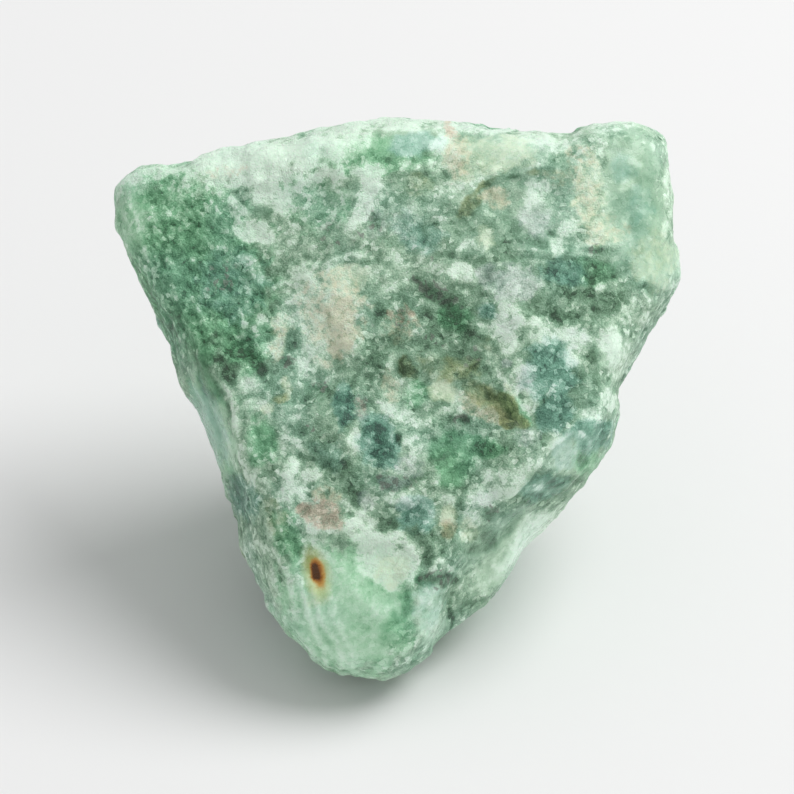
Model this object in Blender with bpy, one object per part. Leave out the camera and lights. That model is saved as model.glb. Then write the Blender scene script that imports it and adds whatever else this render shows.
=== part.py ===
"""Rough green aventurine, one broken lump of green quartz rock, in metres.

+X runs across the broad fracture face, +Y to the steep back, +Z up. The lump rests on a small
flat spot at z = 0 and its origin is under the middle of its box. The face is drawn in a plane
that leans back from upright: u across, v up the lean and w out of the plane, in millimetres.
"""

import math

import bmesh
import bpy
from mathutils import Vector, noise
from mathutils.geometry import intersect_point_line

MM = 0.001
NODE_NAME = "aventurine_stone"

# Attitude of the outline plane and the height of its middle over the resting spot
OUTLINE_LEAN = math.radians(40.0)
MIDDLE_HEIGHT = 16.4

# The broad face: the height and slope of its main flat, and the flats that fall away around it.
# Each outer flat is the direction it falls in, in degrees from +u towards +v, how far from the
# middle it starts and how steeply it falls.
FACE_HEIGHT = 1.6
FACE_SLOPE_UP = -0.11
OUTER_FLATS = {
    "upper_left": (152.0, 5.5, 0.20),
    "top": (84.0, 11.5, 0.26),
    "right": (8.0, 9.0, 0.24),
    "lower_right": (-52.0, 5.5, 0.16),
    "tip": (-100.0, 9.0, 0.30),
    "left": (205.0, 6.5, 0.14),
}
# How far the creases between the flats wander, and over what reach
CREASE_WANDER = 1.1
CREASE_REACH = 5.0

# Where the body turns from front to back, and the edge of the broad face inside it.
# Each row is u, v and w of the turn, then u and v of the face edge.
TOP_RIM = (
    (-17.8, 13.4, -4.8, -16.7, 12.7),
    (-16.3, 14.6, -4.6, -15.4, 13.5),
    (-12.4, 15.2, -4.4, -12.0, 14.2),
    (-7.7, 16.1, -4.2, -7.4, 15.1),
    (-3.3, 17.3, -4.4, -3.2, 16.2),
    (-0.9, 17.7, -4.5, -0.9, 16.5),
    (1.4, 17.6, -4.5, 1.3, 16.4),
    (3.0, 17.1, -4.3, 3.0, 15.9),
    (7.4, 16.7, -4.2, 7.3, 15.6),
    (10.0, 16.5, -4.2, 10.0, 15.4),
    (13.7, 17.3, -4.5, 13.2, 15.9),
    (15.5, 17.3, -4.8, 14.4, 15.6),
    (16.9, 16.4, -4.9, 15.0, 14.6),
)
RIGHT_SIDE = (
    (17.5, 12.4, -4.9, 15.1, 12.2),
    (17.3, 11.3, -4.9, 15.0, 10.9),
    (17.7, 9.2, -5.0, 15.2, 8.8),
    (18.0, 7.1, -5.0, 15.5, 7.0),
    (16.5, 5.6, -4.8, 14.5, 5.2),
    (15.2, 3.3, -4.7, 13.4, 3.0),
    (13.9, 0.9, -4.9, 12.4, 0.6),
    (13.9, -2.0, -5.2, 12.0, -1.3),
)
LOWER_FACET = (
    (13.3, -3.4, -4.2, 11.4, -1.9),
    (11.2, -5.9, -3.8, 9.3, -3.2),
    (8.9, -7.5, -3.6, 7.6, -4.9),
)
SKIRT = (
    (7.6, -10.1, -3.6, 5.9, -6.4),
    (6.3, -12.3, -3.4, 4.6, -8.0),
    (3.8, -14.2, -3.2, 2.9, -10.6),
)
TIP = (
    (2.7, -14.9, -3.0, 1.8, -12.8),
    (1.4, -16.9, -2.0, 0.4, -14.6),
    (-0.8, -17.8, -1.6, -1.2, -15.4),
    (-2.6, -17.7, -1.5, -2.8, -15.4),
    (-4.9, -16.7, -1.6, -4.4, -14.5),
    (-7.1, -14.8, -2.0, -5.9, -12.9),
    (-8.5, -12.7, -2.6, -7.1, -11.0),
)
LEFT_FLANK = (
    (-9.5, -10.5, -3.6, -7.8, -8.8),
    (-10.5, -7.2, -4.4, -8.3, -6.0),
    (-11.5, -4.1, -4.8, -9.7, -3.9),
    (-12.4, -1.3, -4.8, -10.5, -0.5),
    (-13.9, 0.9, -4.8, -11.7, 1.9),
    (-14.4, 4.6, -4.6, -13.0, 4.6),
    (-15.7, 6.4, -4.6, -14.5, 6.2),
    (-17.7, 10.3, -4.8, -16.4, 9.8),
)
# Each stretch of the turn with its shoulder, how far in and how far up towards the face edge,
# and how far the hidden belt below it swells out, as a share of the way down
STRETCHES = (
    (TOP_RIM, 0.50, 0.62, 0.17),
    (RIGHT_SIDE, 0.40, 0.62, 0.05),
    (LOWER_FACET, 0.30, 0.36, 0.03),
    (SKIRT, 0.62, 0.22, 0.03),
    (TIP, 0.42, 0.66, 0.03),
    (LEFT_FLANK, 0.30, 0.46, 0.03),
)
FACE_SHARES = (1.0, 0.74, 0.46, 0.18)

# Hidden sides: the flat spot's corners as x and y, how far below it the sides run on before
# it is cut true, and a belt of the body part of the way down to it
SPOT_CORNERS = (
    (-2.8, -3.2),
    (0.8, -3.4),
    (3.4, -1.0),
    (5.2, 2.6),
    (5.6, 6.6),
    (2.6, 9.2),
    (-2.4, 9.4),
    (-5.4, 6.4),
    (-5.4, 1.0),
    (-4.6, -2.2),
)
SPOT_CENTRE = (0.0, 2.5)
SPOT_SPARE = 1.2
BELT_DOWN = 0.42

# Slack for a ray that runs along a side of the spot, and for one that leaves at a corner
PARALLEL_SLACK = 1e-9
CORNER_SLACK = 1e-6

# Flat fractures that cut the hidden sides: the heading each one faces, in degrees from +X
# towards +Y, how far it faces up, and how far outside the turn of the body it passes
FRACTURES = {
    "back_left": (101.0, -9.0, 0.3),
    "back_right": (79.0, -12.0, 0.3),
    "left_back": (141.0, -30.0, 0.2),
    "right_back": (38.0, -26.0, 0.2),
    "under_back": (84.0, -46.0, 10.5),
}

# Relief of the broad face, measured out of the outline plane.
# A ledge is a line, the height of the step on its left and how far the raised side runs out.
FACE_LEDGES = {
    "rim_step": ((-11.5, 12.4), (4.0, 14.0), 0.45, 2.2),
    "upper_right_step": ((4.5, 12.2), (12.8, 13.8), -0.70, 3.0),
    "middle_step": ((-8.5, 3.4), (5.0, 0.2), 0.50, 4.0),
    "right_step": ((8.0, -0.6), (12.6, 8.6), -0.45, 3.2),
    "shelf_lip": ((3.2, -9.4), (12.0, -1.6), 0.60, 2.4),
    "above_tip": ((-7.0, -8.2), (3.2, -10.2), 0.60, 2.6),
}
# How wide the step of a ledge is, and the share of its length where it has faded at each end
LEDGE_WIDTH = 1.0
LEDGE_FADE = 0.06
# A lump or a pit is u, v, radius and height
FACE_LUMPS = {
    "right_swell": (8.5, 6.0, 4.6, 0.7),
    "upper_left_hollow": (-10.5, 9.0, 3.6, -0.5),
    "middle_hollow": (1.5, 5.5, 3.8, -0.5),
    "lower_swell": (-1.5, -5.0, 3.8, 0.5),
    "tip_swell": (-2.6, -12.6, 3.6, 0.6),
    "spot_pit": (-5.0, -11.2, 1.1, -0.45),
    "shelf_pit": (4.6, -10.8, 1.4, -0.6),
    "left_pit": (-6.0, 5.2, 1.4, -0.45),
    "right_pit": (10.6, -0.4, 1.3, -0.40),
}

# How squarely a surface looks out of the face before the named relief starts, and for all of it
FACE_STARTS = 0.45
FACE_FULL = 0.80

# Broken relief all over: reach and depth of the slow swell and how its octaves add up
SWELL_REACH = 8.0
SWELL_DEPTH = 0.5
SWELL_ROUGHNESS = 1.0
SWELL_STEP = 2.0
SWELL_OCTAVES = 2
# Shell-shaped scoops: their rims, as a share of the reach, the level that they leave as it was,
# and how much of them the broad face has
SCOOP_REACH = 7.5
SCOOP_DEPTH = 0.85
SCOOP_RIM = 0.6
SCOOP_LEVEL = 0.45
FACE_SCOOP_SHARE = 0.3
# Fine hackle, which is grooves between rounded ribs
HACKLE_REACH = 2.8
HACKLE_DEPTH = 0.16
HACKLE_LEVEL = 0.5
HACKLE_GROOVE = 2.0
# Stepped ledges that only the hidden sides have: the share of a step that rises, and how far
# and over what reach the steps wander
STEP_REACH = 8.0
STEP_DEPTH = 0.45
STEP_RISE = 0.22
STEP_DIRECTION = Vector((0.42, 0.30, 0.86)).normalized()
STEP_WANDERS = ((1.1, 7.0), (0.2, 2.6))
# How squarely a surface looks out of the face where the ledges are all there, and all gone
HIDDEN_FULL = -0.1
HIDDEN_ENDS = 0.4
RELIEF_PLACE = Vector((3.1, 7.7, 5.2))

# Within this much of the turn the relief only lifts out of the plane, so the outline holds
OUTLINE_HOLD = 1.8

# Size of the mesh's faces, and how the body is rounded before the relief and worn after it
FACE_SIZE = 0.88
REST_PASSES = 2
REST_SHARE = 0.4
WEAR_SHARE = 0.25

STONE_COLOUR = (0.27, 0.45, 0.34, 1.0)
STONE_ROUGHNESS = 0.55

UP_THE_LEAN = Vector((0.0, math.sin(OUTLINE_LEAN), math.cos(OUTLINE_LEAN)))
OUT_OF_FACE = Vector((0.0, -math.cos(OUTLINE_LEAN), math.sin(OUTLINE_LEAN)))
ACROSS = Vector((1.0, 0.0, 0.0))
MIDDLE = Vector((0.0, 0.0, MIDDLE_HEIGHT))


def clear_scene():
    """Remove every object, so that the lump stands alone."""
    for thing in list(bpy.data.objects):
        bpy.data.objects.remove(thing, do_unlink=True)


def from_face(u, v, w):
    """Return the place, in millimetres, of a point given in the outline plane's frame."""
    return MIDDLE + u * ACROSS + v * UP_THE_LEAN + w * OUT_OF_FACE


def to_face(place):
    """Return u, v and w of a place in millimetres."""
    offset = place - MIDDLE
    return offset.dot(ACROSS), offset.dot(UP_THE_LEAN), offset.dot(OUT_OF_FACE)


def face_height(u, v):
    """Return w of the face's flats, without relief, under u and v."""
    wander = CREASE_WANDER * noise.noise(Vector((u, v, 0.0)) / CREASE_REACH)
    fall = 0.0
    for heading, start, slope in OUTER_FLATS.values():
        angle = math.radians(heading)
        beyond = u * math.cos(angle) + v * math.sin(angle) - start + wander
        fall = max(fall, slope * beyond)
    return FACE_HEIGHT + FACE_SLOPE_UP * v - fall


def face_rings():
    """Return the rings of the front, from the turn of the body to the middle of the face."""
    turn, shoulder, edges = [], [], []
    for rows, share_in, share_up, _ in STRETCHES:
        for u, v, w, edge_u, edge_v in rows:
            rise = face_height(edge_u, edge_v) - w
            turn.append(from_face(u, v, w))
            shoulder.append(
                from_face(u + share_in * (edge_u - u), v + share_in * (edge_v - v), w + share_up * rise)
            )
            edges.append((edge_u, edge_v))
    rings = [turn, shoulder]
    for share in FACE_SHARES:
        ring = [(share * u, share * v) for u, v in edges]
        rings.append([from_face(u, v, face_height(u, v)) for u, v in ring])
    return rings


def point_on_spot(direction):
    """Return where a ray from the spot's centre leaves the spot, below where it is cut flat."""
    centre = Vector((*SPOT_CENTRE, -SPOT_SPARE))
    best = centre
    corners = [Vector((x, y, -SPOT_SPARE)) for x, y in SPOT_CORNERS]
    for start, end in zip(corners, corners[1:] + corners[:1]):
        side = end - start
        across = direction.cross(side).z
        if abs(across) < PARALLEL_SLACK:
            continue
        reach = (start - centre).cross(side).z / across
        along = (start - centre).cross(direction).z / across
        if reach > 0.0 and -CORNER_SLACK <= along <= 1.0 + CORNER_SLACK:
            best = centre + reach * direction
    return best


def hidden_rings(turn):
    """Return the rings of the hidden sides: the belt, and the edge of the flat spot."""
    centre = Vector((*SPOT_CENTRE, 0.0))
    swells = [swell for rows, _, _, swell in STRETCHES for _ in rows]
    belt, spot = [], []
    for place, swell in zip(turn, swells):
        direction = Vector((place.x - centre.x, place.y - centre.y, 0.0)).normalized()
        foot = point_on_spot(direction)
        out = swell * (place - foot).length
        belt.append(place.lerp(foot, BELT_DOWN) + out * direction)
        spot.append(foot)
    return [belt, spot]


def bridge(mesh, lower, upper):
    """Join two rings of vertices by a band of faces."""
    count = len(lower)
    for i in range(count):
        j = (i + 1) % count
        mesh.faces.new((lower[i], lower[j], upper[j], upper[i]))


def lofted_body(front):
    """Return the plain body as a mesh: the front's rings, the belt and the flat spot."""
    rings = list(reversed(hidden_rings(front[0]))) + front
    mesh = bmesh.new()
    made = [[mesh.verts.new(place) for place in ring] for ring in rings]
    for lower, upper in zip(made, made[1:]):
        bridge(mesh, lower, upper)
    mesh.faces.new(made[-1])
    mesh.faces.new(list(reversed(made[0])))
    bmesh.ops.triangulate(mesh, faces=mesh.faces)
    bmesh.ops.recalc_face_normals(mesh, faces=mesh.faces)
    return mesh


def cut_fractures(mesh, turn):
    """Break the hidden sides off along their flat fractures, clear of the turn."""
    for heading, rise, clearance in FRACTURES.values():
        heading, rise = math.radians(heading), math.radians(rise)
        level = Vector((math.cos(heading), math.sin(heading), 0.0))
        direction = math.cos(rise) * level + math.sin(rise) * Vector((0.0, 0.0, 1.0))
        reach = max(place.dot(direction) for place in turn) + clearance
        parts = mesh.verts[:] + mesh.edges[:] + mesh.faces[:]
        cut = bmesh.ops.bisect_plane(
            mesh,
            geom=parts,
            plane_co=reach * direction,
            plane_no=direction,
            clear_outer=True,
        )
        rim = [part for part in cut["geom_cut"] if isinstance(part, bmesh.types.BMEdge)]
        if rim:
            bmesh.ops.edgeloop_fill(mesh, edges=rim)
    bmesh.ops.triangulate(mesh, faces=mesh.faces)


def even_mesh(mesh):
    """Return the body with faces of one size, as a new mesh."""
    data = bpy.data.meshes.new("coarse_body")
    mesh.to_mesh(data)
    mesh.free()
    coarse = bpy.data.objects.new("coarse_body", data)
    bpy.context.collection.objects.link(coarse)
    remesh = coarse.modifiers.new("even_faces", "REMESH")
    remesh.mode = "VOXEL"
    remesh.voxel_size = FACE_SIZE
    graph = bpy.context.evaluated_depsgraph_get()
    even = bmesh.new()
    even.from_object(coarse, graph)
    bpy.data.objects.remove(coarse, do_unlink=True)
    bpy.data.meshes.remove(data)
    return even


def line_step(u, v, ledge):
    """Return the height that a ledge gives the face at u and v."""
    start, end, height, run_out = ledge
    spot, start, end = Vector((u, v)), Vector(start), Vector(end)
    nearest, share = nearest_on_line(spot, start, end)
    offset = spot - nearest
    side = (end - start).cross(offset)
    fade = math.sin(math.pi * min(max(share, LEDGE_FADE), 1.0 - LEDGE_FADE))
    distance = offset.length
    half_height = height / 2.0 * min(distance / (LEDGE_WIDTH / 2.0), 1.0)
    return math.copysign(half_height, side) * fade * math.exp(-distance / run_out)


def share_between(value, low, high):
    """Return 0 up to low, 1 from high on, and the share of the way between them."""
    return min(max((value - low) / (high - low), 0.0), 1.0)


def round_bump(u, v, bump):
    """Return the height that a lump or a pit gives the face at u and v."""
    middle_u, middle_v, radius, height = bump
    distance = math.hypot(u - middle_u, v - middle_v) / radius
    return height * math.exp(-distance * distance)


def face_relief(place, normal):
    """Return how far the named relief lifts a place on the broad face."""
    facing = share_between(normal.dot(OUT_OF_FACE), FACE_STARTS, FACE_FULL)
    if facing == 0.0:
        return 0.0
    u, v, _ = to_face(place)
    lift = sum(line_step(u, v, ledge) for ledge in FACE_LEDGES.values())
    lift += sum(round_bump(u, v, bump) for bump in FACE_LUMPS.values())
    return facing * lift


def broken_relief(place, normal):
    """Return how far the fracture's swell, scoops, hackle and ledges lift a place."""
    spot = place + RELIEF_PLACE
    rise = noise.fractal(spot / SWELL_REACH, SWELL_ROUGHNESS, SWELL_STEP, SWELL_OCTAVES)
    nearest = noise.voronoi(spot / SCOOP_REACH)[0][0]
    scoop = SCOOP_DEPTH * (min(nearest / SCOOP_RIM, 1.0) ** 2 - SCOOP_LEVEL)
    groove = HACKLE_GROOVE * abs(noise.noise(spot / HACKLE_REACH))
    hackle = HACKLE_DEPTH * (HACKLE_LEVEL - groove)
    warp = sum(share * noise.noise(spot / reach) for share, reach in STEP_WANDERS)
    phase = (spot.dot(STEP_DIRECTION) / STEP_REACH + warp) % 1.0
    tread = 1.0 - STEP_RISE
    tooth = phase / tread if phase < tread else (1.0 - phase) / STEP_RISE
    ledge = STEP_DEPTH * (tooth - 0.5)
    hidden = 1.0 - share_between(normal.dot(OUT_OF_FACE), HIDDEN_FULL, HIDDEN_ENDS)
    scoop_share = FACE_SCOOP_SHARE + (1.0 - FACE_SCOOP_SHARE) * hidden
    return SWELL_DEPTH * rise + scoop_share * scoop + hackle + hidden * ledge


def nearest_on_line(spot, start, end):
    """Return the point of a line nearest to a spot, and how far along the line it is."""
    share = min(max(intersect_point_line(spot, start, end)[1], 0.0), 1.0)
    return start.lerp(end, share), share


def outline_gap(u, v):
    """Return how far u and v are from the turn of the body, seen square to its plane."""
    turn = [Vector(row[:2]) for rows, _, _, _ in STRETCHES for row in rows]
    spot = Vector((u, v))
    sides = zip(turn, turn[1:] + turn[:1])
    return min((spot - nearest_on_line(spot, start, end)[0]).length for start, end in sides)


def wear(mesh, share):
    """Draw every vertex a share of the way to its neighbours, as wear rounds an edge."""
    bmesh.ops.smooth_vert(
        mesh,
        verts=mesh.verts,
        factor=share,
        use_axis_x=True,
        use_axis_y=True,
        use_axis_z=True,
    )


def carve_relief(mesh):
    """Lift every vertex by the named relief of the face and the broken relief all over."""
    for _ in range(REST_PASSES):
        wear(mesh, REST_SHARE)
    mesh.normal_update()
    moves = []
    for vertex in mesh.verts:
        place, normal = vertex.co, vertex.normal
        u, v, _ = to_face(place)
        move = broken_relief(place, normal) * normal
        lift = move.dot(OUT_OF_FACE) * OUT_OF_FACE
        free = min(outline_gap(u, v) / OUTLINE_HOLD, 1.0)
        moves.append(lift + free * (move - lift) + face_relief(place, normal) * OUT_OF_FACE)
    for vertex, move in zip(mesh.verts, moves):
        vertex.co += move
    wear(mesh, WEAR_SHARE)


def flatten_spot(mesh):
    """Cut the flat spot true at z = 0 and close it with one flat face."""
    parts = mesh.verts[:] + mesh.edges[:] + mesh.faces[:]
    cut = bmesh.ops.bisect_plane(
        mesh,
        geom=parts,
        plane_co=Vector((0.0, 0.0, 0.0)),
        plane_no=Vector((0.0, 0.0, -1.0)),
        clear_outer=True,
    )
    rim = [part for part in cut["geom_cut"] if isinstance(part, bmesh.types.BMEdge)]
    bmesh.ops.edgeloop_fill(mesh, edges=rim)
    bmesh.ops.triangulate(mesh, faces=mesh.faces)
    bmesh.ops.recalc_face_normals(mesh, faces=mesh.faces)


def centre_on_origin(mesh):
    """Put the origin under the middle of the lump's box and turn millimetres into metres."""
    xs = [vertex.co.x for vertex in mesh.verts]
    ys = [vertex.co.y for vertex in mesh.verts]
    middle = Vector(((min(xs) + max(xs)) / 2.0, (min(ys) + max(ys)) / 2.0, 0.0))
    for vertex in mesh.verts:
        vertex.co = (vertex.co - middle) * MM


def aventurine_material():
    """Return the stone's own material: pale green quartz rock, dull and slightly waxy."""
    material = bpy.data.materials.new("green_aventurine")
    material.use_nodes = True
    surface = material.node_tree.nodes["Principled BSDF"]
    surface.inputs["Base Color"].default_value = STONE_COLOUR
    surface.inputs["Roughness"].default_value = STONE_ROUGHNESS
    surface.inputs["Metallic"].default_value = 0.0
    return material


def build_stone():
    """Model the lump and link it into the scene under its node's name."""
    front = face_rings()
    body = lofted_body(front)
    cut_fractures(body, front[0])
    stone = even_mesh(body)
    carve_relief(stone)
    flatten_spot(stone)
    centre_on_origin(stone)
    data = bpy.data.meshes.new(NODE_NAME)
    stone.to_mesh(data)
    stone.free()
    data.materials.append(aventurine_material())
    lump = bpy.data.objects.new(NODE_NAME, data)
    bpy.context.collection.objects.link(lump)


clear_scene()
build_stone()
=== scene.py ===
"""Looks of one rough green aventurine stone: a broken lump of sugary, mottled green quartz rock.

Lengths are in millimetres inside the classes and in metres in the scene. Markings are placed on
the broad face in its own frame: u across, v up the lean, w out of the face. Only the rows of
patches are finer: they give places and sizes in tenths of a millimetre.
"""

import logging
import math
from dataclasses import dataclass, field
from enum import Enum
from functools import cached_property

import bmesh
import bpy
import numpy as np
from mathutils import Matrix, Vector, kdtree, noise


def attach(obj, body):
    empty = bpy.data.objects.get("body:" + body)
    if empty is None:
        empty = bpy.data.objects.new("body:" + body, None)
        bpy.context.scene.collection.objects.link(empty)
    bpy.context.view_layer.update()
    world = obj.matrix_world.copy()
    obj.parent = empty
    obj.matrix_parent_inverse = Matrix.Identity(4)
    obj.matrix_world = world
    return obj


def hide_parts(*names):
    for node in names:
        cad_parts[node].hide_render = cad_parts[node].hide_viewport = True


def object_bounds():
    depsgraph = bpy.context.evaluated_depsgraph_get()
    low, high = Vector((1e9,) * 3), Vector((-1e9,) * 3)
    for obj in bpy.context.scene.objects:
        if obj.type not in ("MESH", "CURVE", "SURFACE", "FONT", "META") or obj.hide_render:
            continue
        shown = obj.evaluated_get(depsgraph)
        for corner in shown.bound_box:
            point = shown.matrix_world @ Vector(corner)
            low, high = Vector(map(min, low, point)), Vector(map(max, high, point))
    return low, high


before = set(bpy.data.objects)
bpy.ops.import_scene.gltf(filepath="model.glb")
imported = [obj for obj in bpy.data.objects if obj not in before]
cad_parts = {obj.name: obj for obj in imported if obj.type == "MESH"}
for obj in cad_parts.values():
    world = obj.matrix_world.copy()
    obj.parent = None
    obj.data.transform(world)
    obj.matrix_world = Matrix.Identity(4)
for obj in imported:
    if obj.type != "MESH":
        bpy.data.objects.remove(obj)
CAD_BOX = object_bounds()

LOG = logging.getLogger("stone")
MM = 0.001
TENTHS = 10.0
PERCENT = 100.0
Socket = bpy.types.NodeSocket
Shares = tuple[tuple[str, float], ...]


class Mark(Enum):
    """What a marking does to the rock. The value is the name of its mesh attribute."""

    TONE = "tone"
    FRESH = "fresh_green"
    TEAL = "blue_green"
    TAN = "tan_stain"
    OLIVE = "olive_stain"
    PINK = "pink_stain"
    LILAC = "lilac_quartz"
    CREAM = "cream_quartz"
    MICA = "dark_mica"
    SMOOTH = "smooth_skin"
    STREAK = "streaked_grain"
    # The last two are painted light: proud edges and the thin rim are lightened as a glow that stands in for
    # light shining through thin quartz
    EDGE_GLOW = "worn_edge"
    RIM_GLOW = "thin_rim"


@dataclass(frozen=True)
class Patch:
    """An oval marking on the broad face.

    Its middle and half sizes are in tenths of a millimetre, its strength is in percent and its
    turn in degrees.
    """

    u: float
    v: float
    half_long: float
    half_wide: float
    strength: float = 100
    turn: float = 0


@dataclass(frozen=True)
class FaceFrame:
    """The frame of the broad face, which leans back from upright.

    Markings are laid out on a drawing of the face as it looks from the front. The drawing is a
    little larger than the stone's own face.
    """

    lean: float = math.radians(40.0)
    middle: tuple[float, float, float] = (-0.015, -2.69, 16.285)
    eye: float = 400.0
    shares: tuple[float, float] = (0.972, 0.98)

    def out(self) -> np.ndarray:
        """Return the direction out of the face."""
        return np.array((0.0, -math.cos(self.lean), math.sin(self.lean)))

    def up(self) -> np.ndarray:
        """Return the direction up the lean."""
        return np.array((0.0, math.sin(self.lean), math.cos(self.lean)))

    def turned(self, turn: float) -> tuple[np.ndarray, np.ndarray]:
        """Turn the face's own two directions on the face.

        Args:
            turn: the angle, in radians.

        Returns:
            The turned directions across and up the face.
        """
        across = np.array((1.0, 0.0, 0.0))
        cosine, sine = math.cos(turn), math.sin(turn)
        return cosine * across + sine * self.up(), cosine * self.up() - sine * across

    def place(self, places: np.ndarray) -> tuple[np.ndarray, np.ndarray, np.ndarray]:
        """Return where places lie on the drawing of the face, and how far in front of it.

        Args:
            places: one row of x, y and z for each place.

        Returns:
            u, v and w, one number for each place.
        """
        offset = places - np.array(self.middle)
        w = offset @ self.out()
        nearer = self.eye / (self.eye - w)
        return nearer * offset[:, 0] / self.shares[0], nearer * (offset @ self.up()) / self.shares[1], w


FACE = FaceFrame()


def patches(*rows: tuple[float, ...]) -> tuple[Patch, ...]:
    """Return patches from rows of u, v, half length, half width, strength and turn."""
    return tuple(Patch(*row) for row in rows)


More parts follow.
